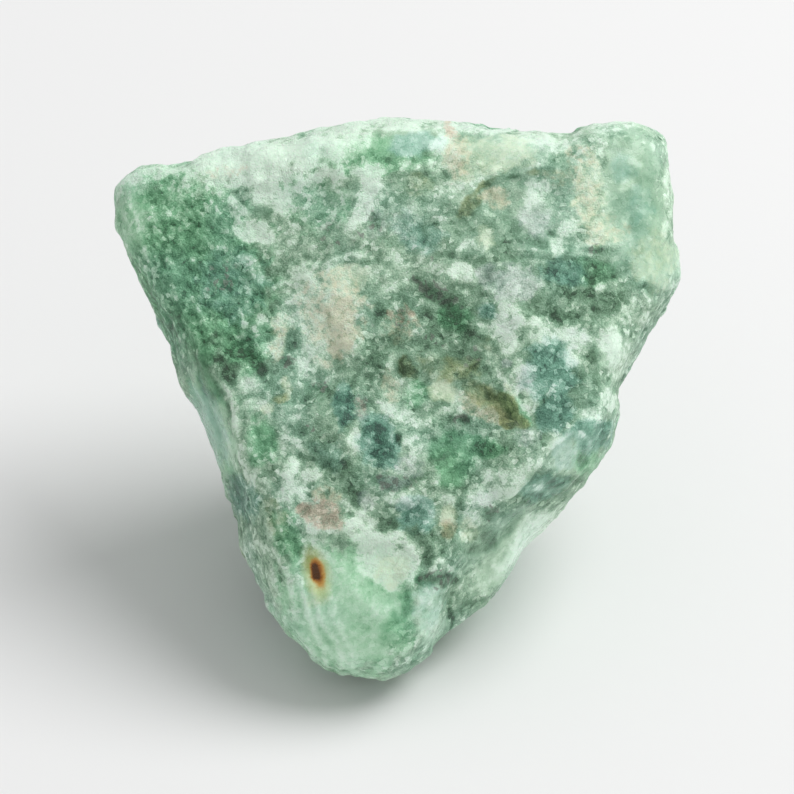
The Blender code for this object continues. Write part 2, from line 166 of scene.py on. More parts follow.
# Each band of rows runs from left to right
PALE_ROCK_AND_GLOW_PATCHES = patches(
    # Top rim
    (-154, 141, 22, 4.5, 80, 12), (-135, 128, 12, 6, 40, 10), (-90, 148, 40, 15, 135, 9),
    (-79, 132, 21, 12, 140, -55), (-54, 136, 28, 11, 75, 10), (-46, 158, 30, 12, 85, 12),
    (-36, 129, 3, 1.5, 70, 20), (-17, 133, 14, 7.5, 140, 80), (-6, 132, 16, 8, 40),
    (-6, 173, 36, 6.5, 100, 3), (4, 147, 4, 3, 80), (13, 144, 3, 2, 70), (24, 134, 11, 7, 45, 50),
    (30, 152, 11, 13, 80), (44, 136, 14, 10, 45, 40), (52, 171, 40, 4.5, 90, -3), (62, 123, 8, 6, 50, -40),
    (64, 153, 20, 10, 35), (84, 122, 3.5, 5, 80), (88, 130, 7.5, 8, 85), (92, 162, 20, 8, 70, -3),
    (112, 122, 5, 1.5, 70, 50), (122, 126, 11, 32, 50), (134, 172, 26, 5, 50, 6), (146, 131, 6, 3, 45, 30),
    (151, 146, 5, 2.5, 40, -20), (171, 125, 3, 34, 40, -3),
    # Upper face
    (-166, 114, 9, 1.6, 60, -70), (-143, 84, 4, 2, 80, -50), (-112, 89, 14, 7, 40, -50),
    (-109, 92, 10, 1.6, 60, -55), (-98, 109, 11, 3.2, 130, -55), (-96, 112, 16, 5, 80, -60),
    (-94, 114, 5, 1.5, 70, -40), (-93, 66, 9, 2.2, 60, 75), (-93, 103, 14, 5, 170, -15),
    (-92, 80, 11, 3.5, 80, -60), (-88, 106, 6, 5.5, 150), (-74, 102, 8, 24, 40), (-66, 97, 5, 2, 70),
    (-65, 106, 6, 1.6, 90, -60), (-62, 72, 10, 8, 65), (-48, 114, 34, 28, 30, 10), (-43, 116, 3, 2, 70),
    (-32, 74, 16, 9, 60), (-28, 89, 14, 4.5, 50), (-27, 108, 9, 4.5, 100, 62), (-21, 119, 12, 6.5, 140, 68),
    (-12, 78, 10, 7, 50), (-4, 69, 6, 5, 50, 20), (4, 84, 7, 12, 50), (5, 106, 10, 9, 45),
    (15, 114, 13, 7, 35), (16, 90, 8, 1.6, 60, 60), (20, 72, 12, 3, 40, -20), (28, 81, 13, 3, 50),
    (43, 78, 11, 6.5, 130, -20), (44, 65, 2.5, 2.5, 90), (45, 96, 4, 3, 60), (56, 100, 4.5, 7, 70, -20),
    (74, 71, 14, 10, 45, 10), (87, 113, 11, 9, 45), (90, 118, 36, 26, 15), (99, 97, 6, 4.5, 95, 20),
    (100, 91, 6, 1.8, 90, 25), (108, 106, 10, 5, 60, 20), (129, 69, 4.5, 1.6, 110, 5),
    (134, 102, 15, 8, 40, -20), (145, 112, 4, 2.5, 40, 60),
    # Middle, above the centre
    (-127, 56, 4, 1.5, 70, -50), (-110, 4, 12, 1.3, 90, -58), (-97, 50, 9, 2, 50, 80),
    (-94, 10, 6, 12, 90, 20), (-78, 32, 8, 5, 120, 50), (-75, 46, 7, 4.5, 100, -40),
    (-69, 8, 2.5, 6, 80, 10), (-69, 43, 3, 5, 80), (-58, 14, 4, 3.5, 70), (-56, 22, 6, 9, 85, 20),
    (-50, 9, 6, 5, 50), (-50, 49, 8, 11, 95), (-46, 23, 10, 5, 75, -20), (-46, 54, 25, 36, 70),
    (-2, 4, 8, 6, 60, 20), (-2, 20, 3.5, 8, 45), (-2, 56, 4, 3, 50), (9, 37, 8, 1.3, 70, 45),
    (13, 2, 6, 4, 30), (26, 36, 2.5, 2, 80), (29, 6, 8, 6.5, 75, -30), (33, 37, 3.5, 2, 60),
    (54, 44, 7, 4, 90, -20), (58, 42, 6, 4, 80, -30), (59, 27, 6, 7, 60), (69, 37, 7, 12, 120, 20),
    (70, 49, 12, 5.5, 90, -20), (70, 57, 8, 3.5, 80, -30), (71, 7, 16, 1.5, 80, -52),
    (80, 6, 6, 8, 80, -30), (80, 14, 7, 7, 80), (90, 46, 10, 3.5, 90), (91, 38, 9, 5, 65),
    (106, 59, 4, 2.5, 40), (111, 23, 8, 6, 110), (112, 34, 13, 10, 110), (113, 56, 5, 1.2, 80, 60),
    (134, 34, 8, 9, 90), (142, 24, 6, 10, 65, -20), (146, 52, 12, 8, 50),
    # Middle, below the centre
    (-106, -30, 5, 16, 30, 16), (-102, -16, 12, 1.2, 70, -75), (-96, -44, 12, 1.3, 90, -65),
    (-90, -5, 8, 5, 70), (-87, -57, 9, 1.3, 60, -38), (-82, -7, 4.5, 3, 60), (-80, -52, 6, 8, 35),
    (-69, -28, 8, 7, 80), (-64, -42, 4.5, 4, 95), (-64, -12, 4, 3, 55), (-63, -52, 12, 6, 90, -75),
    (-55, -49, 7, 5, 80, -30), (-26, -26, 4.2, 7.5, 105, 10), (-24, -34, 4, 2.5, 70),
    (-7, -6, 6.5, 4, 95, -20), (6, -12, 12, 6, 85, -10), (7, -44, 8, 5, 50), (9, -30, 9, 8, 45),
    (13, -57, 9, 3.5, 60, 20), (30, -9, 6, 3.5, 60), (40, -4, 9, 4, 55, -30), (50, -41, 5, 2, 80, -40),
    (50, -6, 14, 4.5, 40, -35), (57, -49, 4, 3, 80), (66, -55, 14, 8, 65, 30), (72, -52, 17, 4.2, 50, 32),
    (84, -5, 6, 5, 60), (86, -24, 2, 5, 70), (90, -55, 5, 2.5, 60, 60), (93, -44, 12, 4, 30, 25),
    (106, -37, 10, 10, 30), (115, -25, 3, 1.6, 90, -40), (120, -9, 9, 5, 60), (124, -13, 5, 2, 80, 20),
    (133, -2, 6, 7, 90),
    # Lower flanks and tip
    (-88, -115, 12, 30, 35, 18), (-73, -82, 7, 18, 35, 30), (-69, -62, 6, 5, 65),
    (-56, -161, 16, 2.5, 40, -35), (-54, -102, 7, 19, 60, 5), (-53, -81, 5, 4.5, 140), (-50, -92, 4, 4, 50),
    (-48, -120, 13, 32, 35, -6), (-48, -75, 15, 10, 65, -10), (-40, -131, 13, 1.2, 60, -80),
    (-35, -156, 7, 15, 30, -10), (-34, -136, 46, 44, 28), (-26, -72, 11, 3, 100, -40),
    (-20, -86, 15, 9, 115, -50), (-19, -66, 3.5, 6, 55), (-16, -149, 7, 1.6, 30, 30),
    (-8, -103, 18, 15, 130, -30), (-3, -158, 6, 2.5, 40, 20), (2, -62, 12, 4, 50, 10),
    (5, -94, 9, 7, 90, -30), (9, -107, 4.5, 10, 75, 10), (20, -136, 8.5, 16, 40),
    (25, -102, 4, 1.6, 70, -10), (32, -73, 3.5, 7, 65), (32, -64, 8, 5, 75), (33, -109, 2, 3, 60),
    # The rows at (57, -109) and (88, -87) are pale rock lightened further as a painted glow: light shining
    # through the thin skirt at the lower right
    (43, -86, 4, 5, 50, 30), (47, -76, 6, 5, 55), (55, -63, 9, 6, 80, 30), (57, -109, 20, 8, 40, 25),
    (88, -87, 24, 11, 70, 40),
)
DARK_ROCK_AND_SHADOW_PATCHES = patches(
    # Top rim
    (-146, 126, 16, 5, 40, 5), (-73, 131, 3.2, 1.6, 150, -60), (-54, 141, 1.5, 1.8, 110),
    (-30, 142, 1.5, 2), (-16, 153, 14, 9, 30), (8, 126, 10, 7, 30), (19, 136, 7, 6, 40),
    (46, 126, 9, 1.6, 80, 45), (59, 134, 9, 1.6, 70, 30), (73, 138, 7, 1.5, 80, 12),
    (95, 143, 12, 1.3, 80, 3), (104, 141, 15, 8, 40), (140, 121, 5, 3, 35, 20), (142, 157, 10, 5, 35, 10),
    (152, 126, 12, 34, 20), (153, 136, 8, 4, 40, -15), (154, 155, 5, 4, 25),
    # Upper face
    (-130, 104, 8, 4, 55), (-124, 68, 38, 46, 50, 15), (-115, 60, 6, 3, 65, -60), (-113, 83, 6, 5, 75, -50),
    (-106, 64, 22, 20, 40, -40), (-102, 112, 5, 2.5, 60, -40), (-83, 117, 7, 4.2, 60),
    (-82, 60, 9, 5, 70, -30), (-81, 76, 8, 3, 40, -40), (-36, 102, 16, 6, 30), (-35, 91, 12, 2, 50, 10),
    (-14, 112, 6, 9, 25), (14, 102, 7, 5, 30, -30), (16, 72, 7, 3.2, 95, -20), (23, 108, 1.5, 1.5),
    (26, 62, 12, 5, 90, -20), (32, 90, 14, 3, 35), (45, 116, 9, 6, 60, 30), (59, 86, 8, 3, 50),
    (60, 75, 10, 6, 35, 30), (62, 109, 10, 5, 40), (67, 95, 8, 5, 60), (74, 106, 5, 6, 70, -30),
    (84, 98, 9, 5, 60), (87, 88, 17, 2.6, 60), (90, 96, 5, 3.5, 90, -20), (94, 60, 8, 4.5, 60),
    (96, 104, 2, 2, 110), (97, 77, 12, 8, 85, -20), (102, 60, 16, 9, 60), (104, 89, 6, 4, 70),
    (108, 93, 2, 2), (109, 69, 16, 8, 80), (124, 80, 16, 8, 80, -20), (124, 94, 7, 2.2, 80, -5),
    (130, 60, 12, 7, 85), (150, 113, 5, 12, 40), (153, 68, 9, 4, 50, -10),
    # Middle, above the centre
    (-124, 32, 20, 12, 70, -60), (-119, 14, 19, 8, 90, -65), (-112, 17, 16, 1.8, 120, -60),
    (-109, 18, 15, 8, 100, -50), (-103, 46, 12, 8, 50, -40), (-98, 27, 9, 11, 100, -30),
    (-88, 18, 7, 9, 110), (-80, 53, 4, 6, 65), (-70, 24, 5, 4, 75), (-65, 36, 5, 8),
    (-47, 5, 11, 4, 40, -10), (-35, 18, 3, 2.5, 70), (-30, 7, 5, 4, 50), (-23, 44, 5, 13, 50),
    (-17, 12, 4, 4, 60), (-14, 21, 8, 7, 90), (-11, 54, 4.5, 5, 120), (0, 36, 9, 5, 60), (5, 56, 6, 8, 60),
    (6, 18, 5.5, 7.5, 105, 10), (19, 52, 6, 6, 70), (30, 37, 13, 5, 50, -20), (35, 51, 11, 11, 110),
    (37, 27, 18, 6, 40, -10), (46, 12, 12, 3, 50, -20), (46, 42, 16, 7, 75, -20), (48, 19, 3, 2.2),
    (58, 54, 6, 3.8, 90, -20), (61, 1, 3.5, 3.5, 70), (64, 33, 5, 6, 75, -40), (67, 0, 18, 3, 60, -46),
    (71, 19, 5, 3, 50, 20), (82, 26, 6, 4, 50), (83, 49, 2.5, 3.5, 90), (94, 19, 13, 12, 75),
    (102, 29, 8, 5, 70), (106, 49, 10, 6, 110), (119, 10, 10, 11, 55), (124, 3, 6, 16, 50),
    (125, 27, 3.5, 6, 90),
    # Middle, below the centre
    (-102, -58, 6, 8, 55), (-101, -24, 1.2, 5, 60), (-95, -19, 1.4, 6, 80, 15), (-83, -25, 7, 12, 55, 10),
    (-78, -32, 2, 4, 70), (-62, -21, 7, 5, 40), (-57, -2, 5, 3, 35), (-46, -32, 9, 8, 70),
    (-36, -44, 10, 6, 80, -20), (-33, -7, 8, 13, 100, 5), (-26, -57, 8, 6, 85, -50), (-20, -8, 5, 8, 35),
    (-13, -23, 7.5, 5, 120, -20), (-9, -36, 7, 9), (-3, -54, 13, 4, 65, -10), (0, -27, 3, 5, 110),
    (10, -50, 8, 2, 60), (22, -36, 2.6, 5, 80), (22, -16, 2, 1.6, 90), (34, -13, 2.8, 3),
    (35, -36, 12, 15, 50), (38, -56, 8, 2.6, 60), (40, -43, 5, 5, 65), (43, -14, 5, 3.2, 110, -10),
    (55, -32, 11, 5.5, 95, -30), (66, -44, 9, 1.8, 60), (70, -32, 7, 5, 50), (70, -17, 5, 2.6, 100, -30),
    (76, -13, 8, 3.5, 70, -40), (93, -28, 3, 6, 40), (96, -51, 13, 5, 85, -5), (99, -8, 12, 10, 65),
    (106, -56, 9, 5, 30, 40), (110, -8, 6, 9, 60), (118, -36, 3.5, 10, 60), (120, -20, 15, 5, 60),
    (129, -24, 6, 5, 50),
    # Lower flanks and tip
    (-96, -68, 6, 9, 45), (-76, -76, 8, 16, 20, 15), (-70, -92, 5, 12, 55, 10), (-64, -96, 3, 7, 50),
    (-62, -144, 4, 3, 40, -30), (-57, -71, 4, 3, 80), (-48, -82, 3, 2, 70), (-45, -73, 11, 6, 60, -10),
    (-41, -76, 2.5, 2.5), (-26, -66, 4, 4, 80), (-10, -164, 8, 4, 30), (-8, -73, 3.5, 5, 40),
    (-4, -82, 5.5, 5.5, 90, -40), (-2, -136, 2, 3, 50), (-1, -147, 11, 8, 70), (6, -128, 2.6, 11, 70),
    (9, -76, 10, 7, 35), (17, -87, 9, 5, 65), (19, -114, 5.5, 5, 95), (20, -97, 3.5, 10, 60),
    # The rows at (34, -138) and (50, -129) are painted shadow: the shade in the notch and along the skirt's
    # lower edge, not darker rock
    (22, -130, 7, 12, 30), (31, -115, 7, 4, 90), (32, -93, 6, 12, 40), (34, -138, 2, 9),
    (39, -133, 4, 3, 60), (40, -64, 2.8, 3.2, 110), (44, -98, 12, 9, 40, 20), (50, -129, 17, 2.5, 60, 25),
    (58, -89, 4.5, 8, 80, 10), (60, -73, 4, 5, 50), (73, -73, 10, 2.8, 45, 25), (85, -64, 8, 4, 95, 20),
)
STAINS = {
    Mark.FRESH: patches(
        (-138, 85, 52, 65, 85, 25), (-146, 122, 20, 10, 120, 5), (-136, 104, 20, 14),
        (-85, -28, 10, 15, 80), (-69, -88, 8, 17, 90, 10), (36, -36, 14, 18, 90),
        (56, -32, 13, 8, 100, -20), (-30, -134, 46, 42, 90), (0, -148, 14, 11, 110),
        (-10, 152, 42, 12, 70, 3), (120, -35, 10, 16, 80), (-116, -20, 13, 45, 50, 15),
        (36, 51, 10, 11, 60), (-50, 122, 26, 16, 50), (123, 79, 16, 9, 50, -20), (-88, 32, 10, 18, 70, -30),
        (13, 2, 8, 8, 70), (75, -7, 14, 5, 120, -48),
    ),
    Mark.TEAL: patches(
        (98, 16, 16, 20, 90), (100, -10, 13, 12, 80), (-34, -5, 8, 13, 90, 5), (12, 104, 18, 12, 60, -30),
        (12, -74, 12, 12, 90), (-11, -28, 13, 18, 90), (104, 78, 16, 10, 70, -10), (12, 159, 16, 9, 80),
        (-120, -16, 10, 28, 60, 16), (-106, 72, 24, 26, 50, -40), (144, 142, 10, 9, 40, 20),
        (153, 119, 8, 13, 45, -10), (122, -24, 16, 12, 80), (93, -56, 16, 9, 60, 20),
        (-43, -38, 14, 12, 40), (-96, -64, 10, 16, 60, 15), (56, 54, 8, 5, 80, -20), (20, -132, 10, 18, 50),
        (106, -37, 10, 10, 60),
    ),
    Mark.TAN: patches(
        (-36, 46, 12, 20), (-42, 58, 22, 22, 60), (-45, 23, 9, 5, 50, -10), (38, 150, 9, 14, 75),
        (62, 123, 9, 7, 90, -40), (120, 128, 9, 32, 36), (113, 153, 10, 6, 42), (104, 138, 13, 6, 40),
        (4, 44, 11, 12, 50), (-3, 6, 6, 9, 60), (62, -11, 11, 4, 110, -42), (50, -5, 11, 6, 80, -35),
        (-46, -61, 10, 5, 60), (33, -83, 5, 6, 75), (-74, 46, 6, 6, 50), (-78, 29, 6, 8, 40),
        (132, 106, 16, 9, 35, -20), (46, -1, 8, 4, 45, -30),
    ),
    Mark.OLIVE: patches(
        (54, 2, 17, 8, 60, -30), (70, -7, 15, 7, 100, -48), (79, -15, 6, 4, 70, -30),
        (68, -17, 5, 3, 100, -30), (34, 18, 22, 9, 50, -5), (6, 18, 6, 7.5, 70, 10),
        (46, 120, 10, 7, 55, 35), (56, 132, 14, 2.5, 50, 35), (88, 141, 14, 2, 40, 3), (-74, 1, 7, 4, 60),
        (-76, -76, 7, 14, 40, 15), (32, -85, 7, 6, 50), (56, 34, 10, 6, 35), (12, 133, 12, 8, 40),
    ),
    Mark.PINK: patches(
        (-47, -74, 13, 8.5, 100, -10), (-59, -71, 5, 5), (33, 167, 5, 4, 90, -30), (3, 50, 9, 6, 45),
        (-22, -7, 4, 6, 50), (-106, 142, 14, 4, 40, 5),
    ),
    Mark.LILAC: patches(
        (74, 72, 15, 12, 90), (87, 112, 11, 10, 80), (58, 76, 7, 9, 80, 30), (70, 46, 10, 8, 50),
        (82, 12, 6, 9, 60), (71, 21, 4.5, 3, 90), (84, -25, 9, 8, 60), (56, -64, 9, 5, 60, 30),
        (8, -43, 9, 7, 60), (-2, -53, 9, 5, 70), (-22, -8, 5, 8, 60), (-20, -64, 5, 6, 60),
        (4, -68, 9, 6, 50), (-104, -62, 9, 14, 50, 15), (115, 35, 9, 8, 50), (93, 156, 10, 6, 40),
        (-14, 108, 8, 10, 40),
    ),
    Mark.CREAM: patches(
        (64, 153, 26, 12, 60), (29, 5, 9, 7.5, 90, -30), (-32, 74, 14, 10, 60), (162, 86, 15, 19, 50),
        (123, 126, 9, 30, 60), (130, 104, 14, 8, 60, -20), (-4, -108, 12, 11, 55), (32, -73, 5, 8, 80),
        (56, 101, 6, 7, 60), (46, 141, 6, 6, 60), (113, 123, 6, 2, 90, 45), (-52, -126, 8, 6, 50),
        (-75, 36, 5, 12, 45), (45, -84, 5, 7, 50), (-82, -7, 5, 4, 60), (-69, 8, 3.5, 6, 70, 10),
        (72, 4, 2, 7, 70, 30),
    ),
    Mark.MICA: patches(
        (17, 71, 10, 5, 90, -20), (28, 63, 10, 6, 80), (3, 46, 10, 9, 45), (-38, 102, 15, 8, 50),
        (-18, 108, 8, 9, 50), (-68, 23, 6, 5, 70), (24, 36, 7, 5, 70), (-47, 4, 9, 5, 50),
        (-2, -53, 12, 5, 60), (60, -73, 6, 5, 70), (24, -114, 11, 6, 80), (-70, 40, 3, 8, 70),
        (125, 94, 9, 3, 70), (42, -14, 9, 4, 70), (-54, -19, 10, 5, 50), (48, 24, 10, 8, 50),
        (-112, 74, 12, 14, 50), (32, 88, 14, 4, 50),
    ),
    Mark.SMOOTH: patches(
        (149, 126, 22, 46), (84, 124, 50, 36, 35), (164, 86, 16, 18), (65, 156, 30, 11, 90, -2),
        (5, 161, 28, 10, 80, 3), (-50, 155, 32, 8, 60, 10), (-92, 147, 28, 6, 60, 8), (-34, -136, 40, 42),
        (-117, -14, 11, 42, 100, 16), (106, -38, 13, 12, 90), (76, -98, 36, 24, 100, 38),
        (20, -136, 10, 19, 90), (34, -36, 10, 12, 50), (-32, 73, 14, 9, 50), (30, 5, 10, 7, 70, -30),
        (-6, -106, 14, 12, 30, -30), (136, 32, 9, 10, 60), (-84, -25, 7, 10, 50), (-83, 117, 8, 5, 50),
        (118, -34, 12, 16, 70), (93, -55, 16, 9, 50, 20), (-168, 115, 10, 24, 60),
    ),
    Mark.STREAK: patches(
        (-125, 75, 46, 65, 100, 25), (-96, -76, 16, 48, 70, 16), (-115, -10, 12, 40, 40, 16),
        (-74, -90, 10, 30, 70, 12), (60, 0, 20, 8, 40, -40),
    ),
}
# How strong the unplaced mottling has to be before a hidden side takes each marking
HIDDEN_LIMITS = {
    Mark.FRESH: 0.0,
    Mark.TEAL: 0.2,
    Mark.TAN: 0.95,
    Mark.OLIVE: 1.0,
    Mark.PINK: 1.15,
    Mark.LILAC: 0.6,
    Mark.CREAM: 0.7,
    Mark.MICA: 0.8,
    Mark.SMOOTH: 0.8,
    Mark.STREAK: 0.3,
}


@dataclass(frozen=True)
class Ledge:
    """A bent line where the face breaks: its left side stands higher, and that fades over run_out."""

    points: tuple[tuple[float, float], ...]
    height: float
    run_out: float


LEDGES = (
    Ledge(((-12.9, 3.1), (-11.3, 1.0), (-10.5, -1.0), (-10.0, -3.5), (-9.0, -5.5), (-8.2, -6.4)), 0.17, 1.3),
    Ledge(((-10.4, 2.4), (-9.0, 1.9), (-8.2, 0.4), (-8.0, -1.6)), -0.11, 0.9),
    Ledge(((4.6, 12.4), (5.6, 13.3), (7.5, 13.9), (10.5, 14.5)), 0.13, 1.4),
    Ledge(((11.9, -1.9), (10.0, -3.1), (8.0, -5.4), (5.8, -7.1)), -0.17, 1.2),
    Ledge(((-17.0, 12.8), (-12.0, 13.7), (-7.6, 14.6), (-3.2, 16.0)), 0.07, 0.8),
    Ledge(((-7.2, 5.6), (-6.0, 8.4), (-3.0, 9.2), (0.6, 8.4)), -0.08, 1.4),
    Ledge(((1.2, 6.9), (3.4, 7.3), (6.2, 6.2), (7.8, 4.2)), 0.10, 1.2),
    Ledge(((2.0, 1.3), (5.6, 0.9), (8.0, -2.0)), 0.10, 0.9),
    Ledge(((9.2, 9.4), (12.4, 9.3), (14.2, 6.8), (13.6, 5.0)), -0.09, 1.2),
    Ledge(((-7.0, -6.2), (-6.2, -3.8), (-4.6, -3.9), (-2.6, -6.2)), 0.08, 1.0),
    Ledge(((-3.4, -7.2), (-1.4, -8.4), (0.2, -8.5), (1.4, -9.6), (1.3, -11.8)), -0.12, 1.2),
    Ledge(((4.0, -9.9), (5.2, -9.9), (6.6, -8.6), (8.6, -7.2)), -0.11, 1.0),
)
GROOVES = (
    Ledge(((3.3, -12.0), (3.4, -14.4)), -0.20, 0.32),
    Ledge(((1.1, -11.9), (0.8, -13.6)), -0.07, 0.30),
    Ledge(((-10.6, 9.9), (-9.4, 8.6), (-8.9, 6.4)), 0.05, 0.30),
    Ledge(((-9.6, -5.2), (-9.0, -8.6), (-7.4, -12.4)), 0.05, 0.26),
)
END_TRIM = 0.02
END_POWER = 0.6


def noise_over(places: np.ndarray, reach: float, seed: float) -> np.ndarray:
    """Return smooth noise, about -1 to 1, at every place.

    Args:
        places: one row of x, y and z for each place.
        reach: the size of one swell of the noise.
        seed: moves the noise, so that two calls differ.

    Returns:
        One number for each place.
    """
    return np.array([noise.noise(spot) for spot in (places / reach + seed).tolist()])


def smooth_step(low: float, high: float, values: np.ndarray) -> np.ndarray:
    """Return 0 below low, 1 above high and a smooth rise between them."""
    share = np.clip((values - low) / (high - low), 0.0, 1.0)
    return share * share * (3.0 - 2.0 * share)


def gap_to_line(u: np.ndarray, v: np.ndarray, line: Ledge) -> tuple[np.ndarray, np.ndarray]:
    """Return how far points are from a bent line, and how near they are to its ends.

    Args:
        u: how far across each point is.
        v: how far up the lean each point is.
        line: the bent line.

    Returns:
        The distance of each point, negative on the line's right side, and a share that is 1 at
        the line's middle and falls towards 0 at its ends.
    """
    points = np.array(line.points)
    lengths = np.linalg.norm(np.diff(points, axis=0), axis=1)
    starts = np.concatenate(((0.0,), np.cumsum(lengths)))
    gap = np.full(len(u), np.inf)
    along = np.zeros(len(u))
    for (u0, v0), (u1, v1), length, start in zip(points, points[1:], lengths, starts):
        step_u, step_v = (u1 - u0) / length, (v1 - v0) / length
        reach = np.clip((u - u0) * step_u + (v - v0) * step_v, 0.0, length)
        off_u, off_v = u - u0 - reach * step_u, v - v0 - reach * step_v
        side = np.copysign(np.hypot(off_u, off_v), step_u * off_v - step_v * off_u)
        nearer = np.abs(side) < np.abs(gap)
        gap = np.where(nearer, side, gap)
        along = np.where(nearer, start + reach, along)
    return gap, np.sin(math.pi * np.clip(along / starts[-1], END_TRIM, 1.0 - END_TRIM)) ** END_POWER


@dataclass(frozen=True)
class Layer:
    """One layer of relief: its forms' size, depth and seed, and how far smooth skin calms it."""

    reach: float
    depth: float
    seed: float
    calm: float = 0.0


@dataclass
class StoneBody:
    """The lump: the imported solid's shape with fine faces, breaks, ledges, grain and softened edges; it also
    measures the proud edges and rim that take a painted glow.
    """

    node: str = "aventurine_stone"
    face_size: float = 0.206
    merge_gap: float = 0.001
    even_passes: int = 26
    even_shares: tuple[float, float] = (0.5, -0.53)
    facing_passes: int = 20
    breaks: Layer = Layer(5.2, 0.75, 7)
    chips: Layer = Layer(2.5, 0.24, 11, 0.5)
    flakes: Layer = Layer(1.05, 0.13, 23, 0.8)
    hackle: Layer = Layer(1.5, 0.12, 3.7, 0.6)
    sugar: Layer = Layer(0.5, 0.06, 9.1, 0.8)
    hackle_middle: float = 0.4
    facet_sharpness: float = 9.0
    facets_near: int = 3
    seam_gap: float = 0.85
    seam_depth: float = 0.045
    seam_lean: float = 0.33
    seam_sway: Layer = Layer(2.4, 0.6, 5.5)
    flank_lean: float = 0.35
    flank_side: tuple[float, float] = (-7.8, -10.2)
    flank_top: tuple[float, float] = (8.0, 4.0)
    ledge_width: float = 0.16
    # How wide and how proud the edges and the rim are that take the painted glow
    edge_passes: int = 8
    edge_height: float = 0.06
    rim_passes: int = 60
    rim_height: float = 0.30
    base_height: float = 0.12
    front_pull: float = 0.05
    places: np.ndarray = field(init=False)
    normals: np.ndarray = field(init=False)
    facing: np.ndarray = field(init=False)
    edges: np.ndarray = field(init=False)
    thing: bpy.types.Object = field(init=False)

    def build(self) -> None:
        """Make the stone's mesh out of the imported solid."""
        self.copy_solid()
        self.read_mesh()
        for share in self.even_passes * self.even_shares:
            self.places = self.rested(self.places, 1, share)
        self.write_mesh()
        self.facing = self.rested(self.normals, self.facing_passes) @ FACE.out()
        self.carve()
        self.settle()
        self.write_mesh()

    def copy_solid(self) -> None:
        """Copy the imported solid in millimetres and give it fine, even faces."""
        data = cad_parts[self.node].data.copy()
        coarse = bmesh.new()
        coarse.from_mesh(data)
        bmesh.ops.scale(coarse, vec=Vector((1.0, 1.0, 1.0)) / MM, verts=coarse.verts)
        bmesh.ops.remove_doubles(coarse, verts=coarse.verts, dist=self.merge_gap)
        coarse.to_mesh(data)
        coarse.free()
        solid = bpy.data.objects.new("solid_copy", data)
        bpy.context.scene.collection.objects.link(solid)
        remesh = solid.modifiers.new("fine_faces", "REMESH")
        remesh.mode = "VOXEL"
        remesh.voxel_size = self.face_size
        remesh.use_smooth_shade = True
        graph = bpy.context.evaluated_depsgraph_get()
        fine = bpy.data.meshes.new_from_object(solid.evaluated_get(graph))
        bpy.data.objects.remove(solid)
        fine.materials.clear()
        self.thing = bpy.data.objects.new("rough_stone", fine)
        bpy.context.scene.collection.objects.link(self.thing)

    def read_mesh(self) -> None:
        """Read places and edges from the mesh."""
        data = self.thing.data
        places = np.empty(len(data.vertices) * 3)
        data.vertices.foreach_get("co", places)
        self.places = places.reshape(-1, 3)
        pairs = np.empty(len(data.edges) * 2, np.int32)
        data.edges.foreach_get("vertices", pairs)
        self.edges = pairs.reshape(-1, 2)

    def write_mesh(self) -> None:
        """Write the places back and read the new normals."""
        data = self.thing.data
        data.vertices.foreach_set("co", self.places.ravel())
        data.update()
        normals = np.empty(len(data.vertices) * 3)
        data.vertices.foreach_get("normal", normals)
        self.normals = normals.reshape(-1, 3)

    def rested(self, values: np.ndarray, passes: int, share: float = 0.5) -> np.ndarray:
        """Return values drawn again and again towards the mean of their neighbours.

        Args:
            values: one row for each vertex.
            passes: how many times they are drawn.
            share: how far they are drawn, or pushed back where it is negative.

        Returns:
            The rested values, in the same shape.
        """
        ends = self.edges.T.ravel()
        starts = self.edges[:, ::-1].T.ravel()
        count = len(values)
        near = np.bincount(ends, minlength=count)
        for _ in range(passes):
            means = [np.bincount(ends, column[starts], count) / near for column in values.T]
            values = values + share * (np.stack(means, axis=1) - values)
        return values

    def facets(self, layer: Layer) -> np.ndarray:
        """Return the heights of a layer's small flat breaks, each tilted its own way.

        Args:
            layer: the layer, whose seed moves and turns the breaks.

        Returns:
            One height for each vertex, about -1 to 1.
        """
        reach = layer.reach
        low = self.places.min(axis=0) - reach
        counts = np.ceil((self.places.max(axis=0) + reach - low) / reach).astype(int)
        cells = np.stack(np.meshgrid(*map(np.arange, counts), indexing="ij"), axis=-1).reshape(-1, 3)
        draw = np.random.default_rng(layer.seed)
        middles = low + (cells + draw.random(cells.shape)) * reach
        tilts = draw.normal(size=middles.shape)
        tilts /= np.linalg.norm(tilts, axis=1, keepdims=True)
        tree = kdtree.KDTree(len(middles))
        for index, middle in enumerate(middles.tolist()):
            tree.insert(middle, index)
        tree.balance()
        found = [tree.find_n(place, self.facets_near) for place in self.places.tolist()]
        nearest = np.array([[hit[1] for hit in hits] for hits in found])
        distance = np.array([[hit[2] for hit in hits] for hits in found]) / reach
        weight = np.exp(-self.facet_sharpness * (distance - distance[:, :1]))
        offset = self.places[:, None, :] - middles[nearest]
        height = np.sum(offset * tilts[nearest], axis=2) / reach
        return np.sum(weight * height, axis=1) / np.sum(weight, axis=1)

    def carve(self) -> None:
        """Break the surface into flats, chips, flakes, hackle and grain, with ledges and seams."""
        markings = Markings(self)
        smooth = np.clip(markings.field_of(STAINS[Mark.SMOOTH]), 0.0, 1.0)
        front = markings.frontness
        lift = (1.0 - front) * self.breaks.depth * self.facets(self.breaks)
        forms = {
            self.chips: self.facets(self.chips),
            self.flakes: self.facets(self.flakes),
            self.hackle: self.hackle_middle - np.abs(self.noise(self.hackle)),
            self.sugar: self.noise(self.sugar),
        }
        for layer, form in forms.items():
            lift += (1.0 - layer.calm * smooth) * layer.depth * form
        lift += self.seams() + front * self.ledges(markings)
        base = smooth_step(0.0, self.base_height, self.places[:, 2])
        self.places = self.places + (base * lift)[:, None] * self.normals

    def noise(self, layer: Layer) -> np.ndarray:
        """Return a layer's smooth noise at each vertex."""
        return noise_over(self.places, layer.reach, layer.seed)

